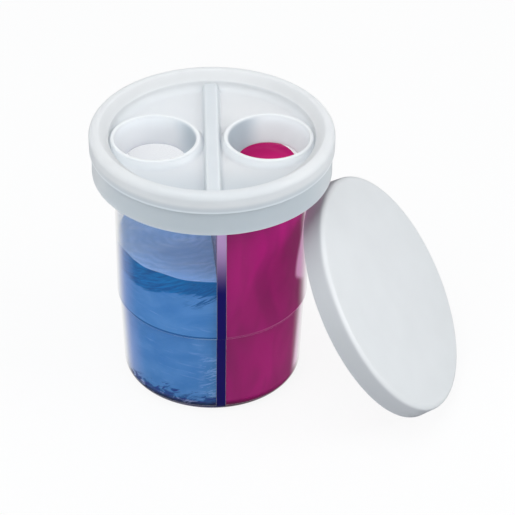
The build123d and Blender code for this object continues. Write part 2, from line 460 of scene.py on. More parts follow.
def rippled_block(cup, name, level, depth, seed_turn):
    """Block with a rippled top face just under a level, to trim the paint's surface."""
    bpy.ops.object.select_all(action="DESELECT")
    size = 2 * cup.neck_radius
    lines = 110
    bpy.ops.mesh.primitive_grid_add(
        x_subdivisions=lines, y_subdivisions=lines, size=size, location=(0, 0, level)
    )
    block = bpy.context.object
    block.name = name
    applied()
    for vertex in block.data.vertices:
        x, y = vertex.co.x / MM, vertex.co.y / MM
        # Swells about 15 mm apart, with ripples of 5 mm across them
        swirl = math.sin(0.42 * y + 0.9 * math.sin(0.21 * x + seed_turn))
        fine = 0.35 * math.sin(1.15 * y + 0.5 * x + 2 * math.sin(0.3 * x - seed_turn))
        vertex.co.z += cup.ripple * (swirl + fine - 1.4) / 2.8
    bpy.ops.object.mode_set(mode="EDIT")
    bpy.ops.mesh.select_all(action="SELECT")
    bpy.ops.mesh.extrude_region_move(TRANSFORM_OT_translate={"value": (0, 0, -depth)})
    cleaned()
    return block


def add_node(tree, kind, values=None, links=None, **settings):
    """Add a shader node: its properties, the values of its inputs, and its wires."""
    node = tree.nodes.new(kind)
    for key, value in settings.items():
        setattr(node, key, value)
    for key, value in (values or {}).items():
        node.inputs[key].default_value = value
    for key, source in (links or {}).items():
        tree.links.new(source, node.inputs[key])
    return node


def axes_of(tree, vector):
    """The X, Y and Z of a vector."""
    axes = add_node(tree, "ShaderNodeSeparateXYZ", links={"Vector": vector})
    return axes.outputs["X"], axes.outputs["Y"], axes.outputs["Z"]


def place_in(tree):
    """Place on the object, in metres of the frame."""
    return add_node(tree, "ShaderNodeTexCoord").outputs["Object"]


def measured(tree, operation, first, second=None, given=None):
    """Number that one or two vectors give, such as their distance; the second may be typed."""
    links = {0: first} if second is None else {0: first, 1: second}
    values = {1: given} if given is not None else None
    node = add_node(tree, "ShaderNodeVectorMath", values, links, operation=operation)
    return node.outputs["Value"]


def noise_over(tree, place, scale, detail):
    """Plain noise over a place."""
    values = {"Scale": scale, "Detail": detail}
    return add_node(tree, "ShaderNodeTexNoise", values, {"Vector": place}).outputs["Fac"]


def bumped(tree, relief, strength, depth):
    """Normal of a surface with a shallow relief."""
    values = {"Strength": strength, "Distance": depth}
    return add_node(tree, "ShaderNodeBump", values, {"Height": relief}).outputs["Normal"]


def shared(tree, factor, first, second):
    """Mix of two shaders."""
    links = {0: factor, 1: first.outputs[0], 2: second.outputs[0]}
    return add_node(tree, "ShaderNodeMixShader", links=links)


def glowing(tree, strength=1.0, colour=(1.0, 1.0, 1.0)):
    """Plain glow of one colour."""
    values = {"Strength": strength, "Color": rgba(colour)}
    return add_node(tree, "ShaderNodeEmission", values)


def new_material(name):
    """Empty node material and its output node."""
    material = bpy.data.materials.new(name)
    material.use_nodes = True
    material.node_tree.nodes.clear()
    output = add_node(material.node_tree, "ShaderNodeOutputMaterial")
    return material, material.node_tree, output


def rgba(colour):
    """Colour with full opacity."""
    return (*colour, 1.0)


def ramp_node(tree, factor, stops, interpolation="LINEAR"):
    """Colour ramp over (position, linear colour) stops."""
    ramp = add_node(tree, "ShaderNodeValToRGB", links={"Fac": factor})
    ramp.color_ramp.interpolation = interpolation
    elements = ramp.color_ramp.elements
    for element, (position, colour) in zip(elements, (stops[0], stops[-1])):
        element.position = position
        element.color = rgba(colour)
    for position, colour in stops[1:-1]:
        elements.new(position).color = rgba(colour)
    return ramp.outputs["Color"]


def grey(value):
    """Neutral colour of one value."""
    return (value, value, value)


def clear_styrene(looks, cup):
    """Crystal polystyrene, injection moulded: glass clear and glossy; its divider's edge and its
    floor are painted with the paint's colour and painted shade.
    """
    material, tree, output = new_material("clear_moulded_styrene")
    place = place_in(tree)
    side, _, height = axes_of(tree, place)
    # Painted shade and painted light: the divider's edge and the floor are painted opaque in the
    # paint's colour, dark between the two paints and light over the blue paint, standing in for the
    # light that runs inside them
    across = summed(tree, side, 0.0, "ABSOLUTE")
    slab = ranged(tree, across, 1.85 * MM, 1.55 * MM)
    filled = ranged(tree, height, cup.magenta_level + 2 * MM, cup.magenta_level)
    slab = masked(tree, slab, filled)
    floor = ranged(tree, height, cup.floor + 1.4 * MM, cup.floor + 0.4 * MM)
    over_blue = ranged(tree, height, cup.blue_level - 6 * MM, cup.blue_level + 26 * MM)
    between = blended(tree, over_blue, rgba(looks.slab_low), rgba(looks.slab_high))
    under_magenta = ranged(tree, side, -MM, MM)
    under = blended(tree, under_magenta, rgba(looks.slab_low), rgba(looks.magenta_base))
    seen_paint_and_shade = blended(tree, slab, under, between)
    paint_and_shade_share = summed(tree, slab, floor, "MAXIMUM")
    tint = blended(tree, paint_and_shade_share, rgba(looks.clear), seen_paint_and_shade)
    clear = ranged(tree, paint_and_shade_share, 0.0, 1.0, 1.0, 0.08)
    # Flow waves about 15 mm long, far shallower than the eye reads as a dent
    bump = bumped(tree, noise_over(tree, place, 65.0, 2.0), 0.04, 0.2 * MM)
    styrene = add_node(
        tree,
        "ShaderNodeBsdfPrincipled",
        {"Roughness": 0.03, "IOR": 1.57},
        {"Base Color": tint, "Transmission Weight": clear, "Normal": bump},
    )
    # Painted reflection: along its outline the wall glows pale grey, standing in for the bright room
    # that it mirrors
    geometry = add_node(tree, "ShaderNodeNewGeometry")
    outward = measured(tree, "DOT_PRODUCT", place, geometry.outputs["Normal"])
    turned_away = summed(tree, grazing(tree), geometry.outputs["Backfacing"], "SUBTRACT")
    outline = masked(
        tree,
        ranged(tree, turned_away, 0.66, 0.95, 0.0, 0.85),
        ranged(tree, outward, cup.base_radius / 2, cup.base_radius * 0.8),
    )
    wall = shared(tree, outline, styrene, glowing(tree, colour=grey(0.93)))
    # Lamps shine through the clear wall, because a refracting wall would cast a black shadow
    see_through = add_node(tree, "ShaderNodeBsdfTransparent", {"Color": rgba(looks.clear)})
    path = add_node(tree, "ShaderNodeLightPath")
    mix = shared(tree, path.outputs["Is Shadow Ray"], wall, see_through)
    tree.links.new(mix.outputs[0], output.inputs["Surface"])
    return material


def grazing(tree):
    """How far the surface is turned away from the eye: nought face on, one at its outline."""
    return add_node(tree, "ShaderNodeLayerWeight", {"Blend": 0.5}).outputs["Facing"]


def backlit(tree, place, tint, looks, lid):
    """Painted shade and painted light of the thin lid: grey where little light comes through it,
    bright where more does.
    """
    # Along the bar and across it, as the lid is turned on the cup
    place = add_node(
        tree,
        "ShaderNodeVectorRotate",
        {"Angle": -lid.turn},
        {"Vector": place},
        rotation_type="Z_AXIS",
    ).outputs["Vector"]
    side, depth, height = axes_of(tree, place)
    across = summed(tree, side, 0.0, "ABSOLUTE")
    # Colour of the painted shade on the lid
    painted_shade = rgba(looks.lid_shade)
    level = add_node(tree, "ShaderNodeCombineXYZ", links={"X": across, "Y": depth}).outputs[0]
    radius = measured(tree, "LENGTH", level)
    # Painted shade: the skirt hangs over the cup's neck and is painted greyer than the lip, least at
    # its left end
    outside = ranged(tree, radius, lid.lip_inner + MM, lid.skirt_inner)
    skirt = masked(
        tree, outside, ranged(tree, height, lid.floor_under + 0.4 * MM, lid.floor_under - 0.4 * MM)
    )
    shaded = ranged(tree, side, -42 * MM, -5 * MM, 0.3, 1.0)
    tint = blended(tree, masked(tree, skirt, shaded), tint, rgba(looks.skirt))
    # Painted highlight: the seam between the skirt and the lip glows as a thin bright line
    seam = belt(tree, height, lid.floor_under + 0.2 * MM, lid.floor_under + 0.7 * MM, 0.4 * MM)
    seam = masked(tree, seam, outside, 0.14)
    # The front of the recess floor lies in the lip's shade
    front = masked(
        tree,
        ranged(tree, depth, -10 * MM, -32 * MM, 0.0, 0.55),
        ranged(tree, height, lid.floor_top + 2 * MM, lid.floor_top),
    )
    tint = blended(tree, front, tint, painted_shade)
    # Painted shade: the lip is a little greyer at the front, and so is the bar
    near = masked(
        tree,
        ranged(tree, depth, -28 * MM, -42 * MM, 0.0, 0.22),
        ranged(tree, height, lid.floor_top, lid.top),
    )
    tint = blended(tree, near, tint, painted_shade)
    bar = masked(
        tree,
        ranged(tree, across, 3.6 * MM, 2.4 * MM, 0.0, 0.25),
        ranged(tree, radius, lid.lip_inner, lid.lip_inner - MM),
    )
    tint = blended(tree, bar, tint, painted_shade)
    # Painted shade and painted light inside each funnel: grey by the bar, glowing away from it, where
    # light comes through
    reach = measured(tree, "DISTANCE", level, given=(lid.funnel_offset, 0, 0))
    bore = lid.mouth_radius - lid.mouth_width / 2
    inside = ranged(tree, reach, bore, bore - 0.6 * MM)
    # The right funnel's painted shade by the bar is darker than the left one's
    shift = ranged(tree, side, -MM, MM, 0.0, 4.5 * MM)
    by_bar = ranged(tree, summed(tree, across, shift, "SUBTRACT"), 15 * MM, 6 * MM, 0.0, 0.95)
    by_bar = masked(tree, inside, by_bar)
    tint = blended(tree, by_bar, tint, painted_shade)
    through = masked(tree, inside, ranged(tree, across, 8 * MM, 22 * MM, 0.03, 0.12))
    return tint, summed(tree, through, seam)


def shaded_wall(tree, tint, looks, axis):
    """Painted shade of the cap: its wall, over the hollow, is painted darker than its face."""
    normal = add_node(tree, "ShaderNodeNewGeometry").outputs["Normal"]
    along = measured(tree, "DOT_PRODUCT", normal, given=axis)
    wall = ranged(tree, summed(tree, along, 0.0, "ABSOLUTE"), 0.75, 0.25, 0.0, 0.9)
    return blended(tree, wall, tint, rgba(looks.cap_shade)), 0.0


def polypropylene(name, colour, scatter, roughness, shades):
    """Moulded polypropylene: milky, satin, with a fine spark-eroded grain and soft mottling."""
    material, tree, output = new_material(name)
    place = place_in(tree)
    # Mottling about 12 mm across, from uneven flow in the mould
    mottle = noise_over(tree, place, 85.0, 3.0)
    darker = tuple(0.975 * channel for channel in colour)
    tint = ramp_node(tree, mottle, [(0.3, darker), (0.7, tuple(colour))])
    tint, glow = shades(tree, place, tint)
    # Grain of 0.6 mm, drawn coarser than the real 0.1 mm so that it shows at all
    bump = bumped(tree, noise_over(tree, place, 1600.0, 2.0), 0.12, 0.05 * MM)
    shine = add_node(
        tree,
        "ShaderNodeMapRange",
        {"To Min": roughness - 0.06, "To Max": roughness + 0.06},
        {"Value": mottle},
    ).outputs["Result"]
    plastic = add_node(
        tree,
        "ShaderNodeBsdfPrincipled",
        {
            "IOR": 1.49,
            "Subsurface Weight": scatter,
            "Subsurface Radius": (1.0, 1.0, 1.0),
            "Subsurface Scale": 3 * MM,
        },
        {"Base Color": tint, "Roughness": shine, "Normal": bump},
    )
    # Painted light: the shades' glow, in the piece's own colour, which only the eye sees
    tree.links.new(tint, plastic.inputs["Emission Color"])
    tree.links.new(for_the_eye(tree, glow), plastic.inputs["Emission Strength"])
    # Painted reflection: in the cup's gloss the lid and the cap show as a faint grey glow
    path = add_node(tree, "ShaderNodeLightPath")
    mix = shared(tree, mirrored(tree, path), plastic, glowing(tree, MIRROR_GLOW))
    tree.links.new(mix.outputs[0], output.inputs["Surface"])
    return material


def blended(tree, factor, first, second, blend="MIX"):
    """Mix of two colours by a factor."""
    mix = add_node(tree, "ShaderNodeMix", data_type="RGBA", blend_type=blend)
    for socket, source in ((0, factor), (6, first), (7, second)):
        if isinstance(source, (tuple, float)):
            mix.inputs[socket].default_value = source
        else:
            tree.links.new(source, mix.inputs[socket])
    return mix.outputs[2]


def ranged(tree, value, low, high, to_low=0.0, to_high=1.0):
    """Value mapped from one range to another and clamped."""
    return add_node(
        tree,
        "ShaderNodeMapRange",
        {"From Min": low, "From Max": high, "To Min": to_low, "To Max": to_high},
        {"Value": value},
        interpolation_type="SMOOTHSTEP",
    ).outputs["Result"]


def summed(tree, first, second, operation="ADD"):
    """Two values joined by a maths operation."""
    node = add_node(tree, "ShaderNodeMath", operation=operation)
    for socket, source in ((0, first), (1, second)):
        if isinstance(source, float):
            node.inputs[socket].default_value = source
        else:
            tree.links.new(source, node.inputs[socket])
    return node.outputs[0]


def stroked(tree, place, size, turn, detail=4.0, distortion=0.6):
    """Noise of one size in millimetres on each axis, turned about Y."""
    mapping = add_node(
        tree,
        "ShaderNodeMapping",
        {"Rotation": (0, turn, 0), "Scale": [each * MM for each in size]},
        {"Vector": place},
        vector_type="TEXTURE",
    ).outputs["Vector"]
    return add_node(
        tree,
        "ShaderNodeTexNoise",
        {"Scale": 1.0, "Detail": detail, "Roughness": 0.6, "Distortion": distortion},
        {"Vector": mapping},
    ).outputs["Fac"]


def belt(tree, value, low, high, soft):
    """One between two limits and nought outside them, with soft edges."""
    rise = ranged(tree, value, low - soft, low)
    fall = ranged(tree, value, high + soft, high)
    return masked(tree, rise, fall)


def masked(tree, first, *others):
    """Product of several masks or factors."""
    product = first
    for mask in others:
        product = summed(tree, product, mask, "MULTIPLY")
    return product


def wandered(tree, value, noise, reach):
    """Value shifted by a noise, up to half the reach each way."""
    shift = summed(tree, summed(tree, noise, 0.5, "SUBTRACT"), reach, "MULTIPLY")
    return summed(tree, value, shift)


def looked_at(tree, path):
    """One for a ray that the camera sends, straight or through the clear wall."""
    return summed(
        tree, path.outputs["Is Camera Ray"], path.outputs["Is Transmission Ray"], "MAXIMUM"
    )


def mirrored(tree, path):
    """One for a ray that was reflected by a gloss, nought for any other."""
    glossy, through = path.outputs["Is Glossy Ray"], path.outputs["Is Transmission Ray"]
    return summed(tree, glossy, through, "GREATER_THAN")


def for_the_eye(tree, strength):
    """Glow that the camera sees and that lights nothing."""
    path = add_node(tree, "ShaderNodeLightPath")
    return masked(tree, looked_at(tree, path), strength)


def level_face(tree):
    """One on the paint's top surface, nought on its sides."""
    normal = add_node(tree, "ShaderNodeNewGeometry").outputs["Normal"]
    return ranged(tree, axes_of(tree, normal)[2], 0.6, 0.9)


def wet(tree, output, colour, relief, strength, glow):
    """Wet, glossy paint of a colour with a shallow relief, and a painted glow that stands in for the
    light it scatters inside.
    """
    paint = add_node(
        tree,
        "ShaderNodeBsdfPrincipled",
        {"Roughness": 0.3, "IOR": 1.4, "Specular IOR Level": 0.3},
        {
            "Base Color": colour,
            "Emission Color": colour,
            "Emission Strength": for_the_eye(tree, glow),
            "Normal": bumped(tree, relief, strength, 0.4 * MM),
        },
    )
    tree.links.new(paint.outputs[0], output.inputs["Surface"])


def blue_tempera(looks, cup):
    """Liquid tempera, stirred with a brush: a thick dark band at its top, strokes and dregs."""
    material, tree, output = new_material("blue_tempera")
    place = place_in(tree)
    across, _, height = axes_of(tree, place)
    level = cup.blue_level
    broad = stroked(tree, place, (16, 16, 7), math.radians(-12))
    strokes = stroked(tree, place, (9, 9, 1.1), math.radians(-30), distortion=1.0)
    body = ramp_node(tree, broad, [(0.3, looks.blue), (0.75, looks.blue_pale)])
    faint = ranged(tree, stroked(tree, place, (11, 11, 1.2), math.radians(8)), 0.55, 0.8, 0.0, 0.35)
    body = blended(tree, faint, body, rgba(looks.blue_light))
    # Light strokes low down by the divider, drawn by the brush
    combed = stroked(tree, place, (5, 5, 0.8), math.radians(-18), distortion=1.4)
    comb = masked(
        tree,
        ranged(tree, combed, 0.5, 0.6, 0.0, 0.55),
        ranged(tree, across, -9 * MM, -4 * MM),
        belt(tree, height, 8 * MM, 22 * MM, 6 * MM),
    )
    body = blended(tree, comb, body, rgba(looks.blue_light))
    # Band of thick paint under the surface, lower towards the left, with a ragged edge
    dip = ranged(tree, across, -13 * MM, -27 * MM, 0.0, 3.5 * MM)
    ragged = wandered(tree, summed(tree, height, dip), broad, 5 * MM)
    ragged = wandered(tree, ragged, strokes, 3 * MM)
    band = ranged(tree, ragged, level - 7.2 * MM, level - 6.4 * MM)
    thick = ramp_node(tree, strokes, [(0.35, looks.blue_dark), (0.65, looks.blue_thick)])
    body = blended(tree, band, body, thick)
    # Dark feathers that the brush left under the band, next to the divider
    feathers = masked(
        tree,
        ranged(tree, strokes, 0.5, 0.57, 0.0, 0.9),
        ranged(tree, across, -15 * MM, -9 * MM),
        belt(tree, height, level - 11 * MM, level - 2 * MM, 2.5 * MM),
    )
    body = blended(tree, feathers, body, rgba(looks.blue_dark))
    # Dregs on the floor, in patches up to 10 mm high
    clots = stroked(tree, place, (6, 6, 2.5), math.radians(-20), distortion=1.0)
    dregs = ranged(tree, wandered(tree, height, clots, 22 * MM), 7.5 * MM, 4.5 * MM, 0.0, 0.9)
    settled = ramp_node(tree, combed, [(0.4, looks.blue_deep), (0.6, looks.blue_dark)])
    # The wall's step bends the light, painted here: a painted shade line with a painted highlight
    # line under it
    step = cup.step_height
    shade = belt(tree, height, step, step + 0.8 * MM, 0.2 * MM)
    body = blended(tree, masked(tree, shade, 0.9), body, rgba(looks.blue_dark))
    glint = belt(tree, height, step - 0.7 * MM, step - 0.3 * MM, 0.2 * MM)
    glint = masked(tree, glint, ranged(tree, across, -14 * MM, -4 * MM, 0.1, 0.6))
    body = blended(tree, glint, body, rgba(looks.blue_glint))
    # Painted reflection: towards the outline the wall shows more of the bright room than of the paint
    edge = ranged(tree, grazing(tree), 0.165, 0.245, 0.0, 0.85)
    body = blended(tree, edge, body, rgba(looks.blue_edge))
    body = blended(tree, dregs, body, settled)
    # Painted light: the top surface is painted lighter than the sides, where light falls on it from
    # above
    top = level_face(tree)
    # Painted highlights: lighter arcs 3 mm apart on the ripples that the brush left on the surface
    centred = add_node(
        tree, "ShaderNodeMapping", {"Location": (12 * MM, 2 * MM, 0)}, {"Vector": place}
    ).outputs["Vector"]
    arcs = add_node(
        tree,
        "ShaderNodeTexWave",
        {"Scale": 100.0, "Distortion": 7.0, "Detail": 2.5, "Detail Scale": 1.6},
        {"Vector": centred},
        wave_type="RINGS",
        rings_direction="Z",
    ).outputs["Fac"]
    shown = masked(tree, arcs, ranged(tree, broad, 0.35, 0.65))
    surface = ramp_node(tree, shown, [(0.0, looks.blue_top), (1.0, looks.blue_ripple)])
    body = blended(tree, top, body, surface)
    # Painted light: the blue paint glows a little, and more on its top surface
    wet(tree, output, body, strokes, 0.2, summed(tree, masked(tree, top, 0.1), 0.05))
    return material


def magenta_tempera(looks, cup):
    """Liquid tempera, evenly mixed: wet gloss and a faint darker stripe."""
    material, tree, output = new_material("magenta_tempera")
    place = place_in(tree)
    across, _, height = axes_of(tree, place)
    # One soft dark stripe that leans a little, and fainter ones round the cup
    darker_streaks = stroked(tree, place, (9, 9, 30), math.radians(8), detail=1.5)
    bowed = wandered(tree, across, stroked(tree, place, (60, 60, 26), 0, detail=0.0), 14 * MM)
    darker_stripe = masked(
        tree,
        belt(tree, bowed, 14.5 * MM, 17 * MM, 2.5 * MM),
        belt(tree, height, 38 * MM, 80 * MM, 10 * MM),
    )
    body = ramp_node(tree, darker_streaks, [(0.45, looks.magenta), (0.75, looks.magenta_dark)])
    body = blended(tree, masked(tree, darker_stripe, 0.7), body, rgba(looks.magenta_dark))
    # Painted highlight: a pale line at the step, where the wall's step bends the light
    step = cup.step_height
    glint = belt(tree, height, step + 0.1 * MM, step + 0.5 * MM, 0.2 * MM)
    glint = masked(tree, glint, ranged(tree, across, 8 * MM, 28 * MM, 0.15, 0.6))
    body = blended(tree, glint, body, rgba(looks.magenta_glint))
    # Painted reflection: towards the outline the wall shows the bright room, and over the middle in a
    # wider wedge
    wedge = masked(
        tree,
        ranged(tree, height, 43 * MM, 51 * MM),
        ranged(tree, height, 51 * MM, 78 * MM, 0.028, 0.0),
    )
    bright = summed(tree, grazing(tree), wedge)
    edge = masked(
        tree,
        ranged(tree, bright, 0.213, 0.226, 0.0, 0.85),
        ranged(tree, height, 5 * MM, 8 * MM),
    )
    body = blended(tree, edge, body, rgba(looks.magenta_edge))
    # Painted light: the top surface is painted in its own lighter colour
    top = level_face(tree)
    body = blended(tree, top, body, rgba(looks.magenta_top))
    # Painted light: a glow on the top surface, where the thin lid lets light through, on the bright
    # outline, growing towards the right and low down
    far = ranged(tree, across, 3 * MM, 26 * MM, 0.05, 0.24)
    glow = summed(tree, summed(tree, masked(tree, top, 0.25), far), masked(tree, edge, 0.3))
    glow = summed(tree, glow, ranged(tree, height, 50 * MM, 15 * MM, 0.0, 0.1))
    wet(tree, output, body, darker_streaks, 0.1, glow)
    return material


def white_table(looks):
    """Matt white studio table: seen directly it is nearly white, and it keeps a faint shadow."""
    material, tree, output = new_material("matt_white_table")
    cloud = noise_over(tree, place_in(tree), 4.0, 2.0)
    pale = tuple(0.985 * channel for channel in looks.floor)
    tint = ramp_node(tree, cloud, [(0.3, pale), (0.7, tuple(looks.floor))])
    matt = add_node(
        tree, "ShaderNodeBsdfPrincipled", {"Roughness": 0.9}, {"Base Color": tint}
    )
    path = add_node(tree, "ShaderNodeLightPath")
    share = masked(tree, looked_at(tree, path), 0.9)
    mix = shared(tree, share, matt, glowing(tree))
    # Painted reflection: in the cup's gloss the table shows as a faint grey glow
    mix = shared(tree, mirrored(tree, path), mix, glowing(tree, MIRROR_GLOW))
    tree.links.new(mix.outputs[0], output.inputs["Surface"])
    return material


class PAINTCUP_OT_tumbler(bpy.types.Operator):
    """Model the clear tumbler: spun outside, with two compartments and its mouth cut in"""

    bl_idname = "paintcup.tumbler"
    bl_label = "Clear Tumbler"

    def execute(self, context):
        settings = context.scene.paint_cup
        cup = settings.cup
        segments = settings.looks.segments
        bead = cup.bead
        outline = [
            (0, cup.foot_recess, 0),
            (cup.foot_inner - cup.foot_recess, cup.foot_recess, 0.4 * MM),
            (cup.foot_inner, 0, 0.3 * MM),
            (cup.base_radius, 0, cup.base_corner),
            (cup.lower_radius, cup.step_height, 0.3 * MM),
            (cup.upper_radius, cup.step_height + cup.step_rise, 0.3 * MM),
            (cup.shoulder_radius, cup.shoulder_height, 2 * MM),
            (cup.neck_radius, cup.neck_height, MM),
            (cup.neck_radius, cup.bead_height - bead, 0.2 * MM),
            (cup.neck_radius + bead, cup.bead_height, 0.4 * MM),
            (cup.neck_radius, cup.bead_height + bead, 0.2 * MM),
            (cup.neck_radius, cup.height, 0.5 * MM),
            (0, cup.height, 0),
        ]
        piece = turned("tumbler", outline, segments, closed=False)
        right = compartment(cup, "right_side", cup.divider_height + MM, cup.corner)
        left = copied(right, "left_side", flip=True)
        mouth = drilled(
            cup.neck_radius - cup.neck_wall, cup.divider_height, cup.height + MM, segments
        )
        for tool in (right, left, mouth):
            carved(piece, tool, "DIFFERENCE")
        smoothed(piece)
        finished(piece, clear_styrene(settings.looks, cup), "cup", "cup")
        return {"FINISHED"}


class PAINTCUP_OT_paints(bpy.types.Operator):
    """Fill both compartments with paint that wets the wall, with rippled surfaces"""

    bl_idname = "paintcup.paints"
    bl_label = "Paints"

    def execute(self, context):
        settings = context.scene.paint_cup
        cup = settings.cup
        # The paint reaches 0.1 mm into the clear wall, and fills its tight corners, so that no
        # air shows between them
        overlap = 0.1 * MM
        corner = cup.corner / 3
        fills = (
            ("blue_tempera_fill", cup.blue_level, True, 0.4, "blue_paint"),
            ("magenta_tempera_fill", cup.magenta_level, False, 2.1, "magenta_paint"),
        )
        for name, level, flip, turn, node_name in fills:
            fill = compartment(cup, name, level + 2 * cup.ripple, corner, overlap)
            if flip:
                raw = fill
                fill = copied(raw, name + "_left", flip=True)
                bpy.data.objects.remove(raw)
                fill.name = name
            block = rippled_block(cup, name + "_surface", level, 2 * level, turn)
            carved(fill, block, "INTERSECT")
            smoothed(fill, 50)
            if flip:
                material = blue_tempera(settings.looks, cup)
            else:
                material = magenta_tempera(settings.looks, cup)
            finished(fill, material, "cup", node_name)
        return {"FINISHED"}


class PAINTCUP_OT_lid(bpy.types.Operator):
    """Model the funnel lid: spun skirt, rolled lip and floor, two funnels and the bar"""

    bl_idname = "paintcup.lid"
    bl_label = "Funnel Lid"

    def shell(self, lid, segments):
        """Skirt, rolled lip, plug wall and floor in one spun outline."""
        bead_middle = lid.skirt_bottom + lid.skirt_bead_rise
        plug_outer = lid.lip_inner + lid.plug_wall
        hollow_radius = lid.lip_base - lid.lip_wall
        hollow_top = lid.top - lid.lip_wall
        hollow_foot = lid.floor_under + lid.lip_wall
        outline = [
            (0, lid.floor_under, 0),
            (plug_outer, lid.floor_under, 0.4 * MM),
            (plug_outer, lid.rim_seat, 0.2 * MM),
            (lid.crest_radius, hollow_top, 0.4 * MM),
            (hollow_radius, hollow_top, 0.8 * MM),
            (hollow_radius, hollow_foot, 0.3 * MM),
            (lid.skirt_inner, hollow_foot, 0.3 * MM),
            (lid.skirt_inner, bead_middle + lid.skirt_bead, 0.15 * MM),
            (lid.skirt_inner - lid.skirt_bead, bead_middle, 0.2 * MM),
            (lid.skirt_inner, bead_middle - lid.skirt_bead, 0.15 * MM),
            (lid.skirt_inner, lid.skirt_bottom, 0.3 * MM),
            (lid.skirt_radius, lid.skirt_bottom, 0.6 * MM),
            (lid.skirt_radius, lid.floor_under, 0.15 * MM),
            (lid.lip_base, lid.floor_under, 0.35 * MM),
            (lid.lip_radius, lid.top, lid.lip_round),
            (lid.crest_radius, lid.top, lid.crest_round),
            (lid.lip_inner, lid.lip_edge, lid.edge_round),
            (lid.recess_radius, lid.floor_top, lid.recess_round),
            (0, lid.floor_top, 0),
        ]
        return turned("funnel_lid_moulding", outline, segments, closed=False)

    def funnel(self, lid, segments):
        """One funnel about Z, whose flared foot runs out on the recess floor."""
        crest = lid.mouth_width / 2
        slope = (lid.mouth_radius - crest - lid.throat_radius) / (lid.mouth_top - lid.throat)
        under = lid.throat_radius + slope * (lid.floor_under - lid.throat) + lid.funnel_wall
        foot = lid.foot_radius + lid.foot_round / 2
        buried = (lid.floor_top + lid.floor_under) / 2
        outline = [
            (lid.throat_radius, lid.throat, 0.3 * MM),
            (lid.throat_radius + lid.funnel_wall, lid.throat, 0.4 * MM),
            (under, lid.floor_under, 0),
            (under, buried, 0),
            (foot, buried, 0),
            (foot, lid.floor_top + SKIM, 0),
            (lid.foot_radius, lid.floor_top + SKIM, 0.9 * lid.foot_round),
            (lid.mouth_radius + crest, lid.floor_top + lid.foot_rise, 0.6 * MM),
            (lid.mouth_radius + crest, lid.mouth_top, 0.95 * crest),
            (lid.mouth_radius - crest, lid.mouth_top, 0.95 * crest),
        ]
        hole = lid.throat_radius + slope * (buried - lid.throat) + lid.funnel_wall / 2
        return turned("funnel", outline, segments), hole

    def bar(self, lid):
        """Bar across the recess, with tapered sides and filleted feet."""
        base = lid.bar_base_width / 2
        top = lid.bar_top_width / 2
        buried = (lid.floor_top + lid.floor_under) / 2
        foot = base + lid.foot_round
        right = [
            (foot, buried, 0),
            (foot, lid.floor_top + SKIM, 0),
            (base, lid.floor_top + SKIM, lid.foot_round * 0.8),
            (top, lid.bar_top, 0.9 * MM),
        ]
        left = [(-across, up, rounding) for across, up, rounding in reversed(right)]
        piece = drawn("bar", rounded(right + left), True)
        bpy.ops.mesh.edge_face_add()
        reach = lid.lip_inner + lid.plug_wall / 2
        bpy.ops.transform.translate(value=(0, -reach, 0))
        bpy.ops.mesh.extrude_region_move(TRANSFORM_OT_translate={"value": (0, 2 * reach, 0)})
        cleaned()
        return piece

    def execute(self, context):
        settings = context.scene.paint_cup
        lid = settings.lid
        segments = settings.looks.segments
        piece = self.shell(lid, segments)
        funnel, hole = self.funnel(lid, segments // 2)
        for side in (-1, 1):
            centre = side * lid.funnel_offset
            low, high = lid.floor_under - MM, lid.floor_top + MM
            carved(piece, drilled(hole, low, high, segments // 2, centre), "DIFFERENCE")
            carved(piece, copied(funnel, "funnel_copy", (centre, 0, 0)), "UNION")
        bpy.data.objects.remove(funnel)
        carved(piece, self.bar(lid), "UNION")
        take(piece)
        piece.rotation_euler.z = lid.turn
        applied()
        smoothed(piece)
        looks = settings.looks
        material = polypropylene(
            "natural_polypropylene",
            looks.lid,
            scatter=1.0,
            roughness=0.45,
            shades=lambda tree, place, tint: backlit(tree, place, tint, looks, lid),
        )
        finished(piece, material, "lid", "funnel_lid")
        return {"FINISHED"}


class PAINTCUP_OT_cap(bpy.types.Operator):
    """Model the snap cap and lean it where the frame has it"""

    bl_idname = "paintcup.cap"
    bl_label = "Snap Cap"

    def execute(self, context):
        settings = context.scene.paint_cup
        cap = settings.cap
        ceiling = cap.height - cap.face
        inside = cap.radius - cap.wall
        ring_inner = cap.ring_radius - cap.ring_wall
        outline = [
            (0, ceiling, 0),
            (ring_inner, ceiling, 0.4 * MM),
            (ring_inner, ceiling - cap.ring_depth, 0.3 * MM),
            (cap.ring_radius, ceiling - cap.ring_depth, 0.4 * MM),
            (cap.ring_radius, ceiling, 0.3 * MM),
            (inside, ceiling, 0.4 * MM),
            (inside, cap.bead_rise + cap.bead, 0.1 * MM),
            (inside - cap.bead, cap.bead_rise, 0.15 * MM),
            (inside, cap.bead_rise - cap.bead, 0.1 * MM),
            (inside, 0, 0.25 * MM),
            (cap.radius, 0, cap.edge_round),
            (cap.face_radius, cap.height, cap.face_round),
            (0, cap.height, 0),
        ]
        piece = turned("snap_cap_moulding", outline, settings.looks.segments, closed=False)
        take(piece)
        joint = next(each for each in frame["joints"] if each["name"] == "cap_lift")
        facing = Vector(joint["axis"])
        piece.rotation_mode = "QUATERNION"
        piece.rotation_quaternion = facing.to_track_quat("Z", "Y")
        applied()
        low, high = (Vector(corner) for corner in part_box("snap_cap"))
        corners = [Vector(corner) for corner in piece.bound_box]
        middle = (corners[0] + corners[6]) / 2
        moved(piece, (low + high) / 2 - middle)
        smoothed(piece)
        looks = settings.looks
        material = polypropylene(
            "white_polypropylene",
            looks.cap,
            scatter=0.35,
            roughness=0.36,
            shades=lambda tree, place, tint: shaded_wall(tree, tint, looks, facing),
        )
        finished(piece, material, "cap", "snap_cap")
        return {"FINISHED"}


